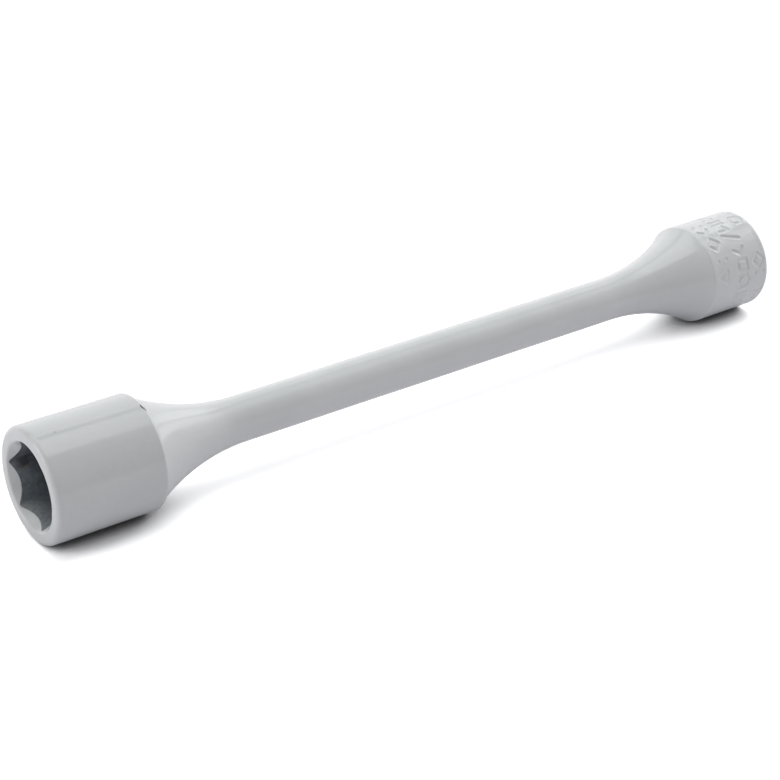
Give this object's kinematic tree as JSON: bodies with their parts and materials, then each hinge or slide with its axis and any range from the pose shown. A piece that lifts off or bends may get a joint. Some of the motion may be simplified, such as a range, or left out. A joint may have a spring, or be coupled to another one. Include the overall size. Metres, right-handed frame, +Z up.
{
  "type": "torque-limiting socket extension",
  "caption": "Slender torsion-bar wheel-nut wrench: hexagon socket head, flared round shank and square-drive head on one axis, in grey painted steel.",
  "frame": {"origin": "centre of the square-drive face, on the tool's axis", "axes": "+X along the tool's axis and out of the square drive, towards the wrench that turns it; +Z up with the tool lying on its side; the wheel-nut mouth faces -X"},
  "size_m": [0.2032, 0.0262, 0.0264],
  "materials": {
    "grey_enamel": "light grey semi-gloss enamel over forged steel"
  },
  "bodies": {
    "root": {"wheel_nut_head": "grey_enamel", "torsion_shank": "grey_enamel", "drive_head": "grey_enamel"}
  },
  "joints": []
}
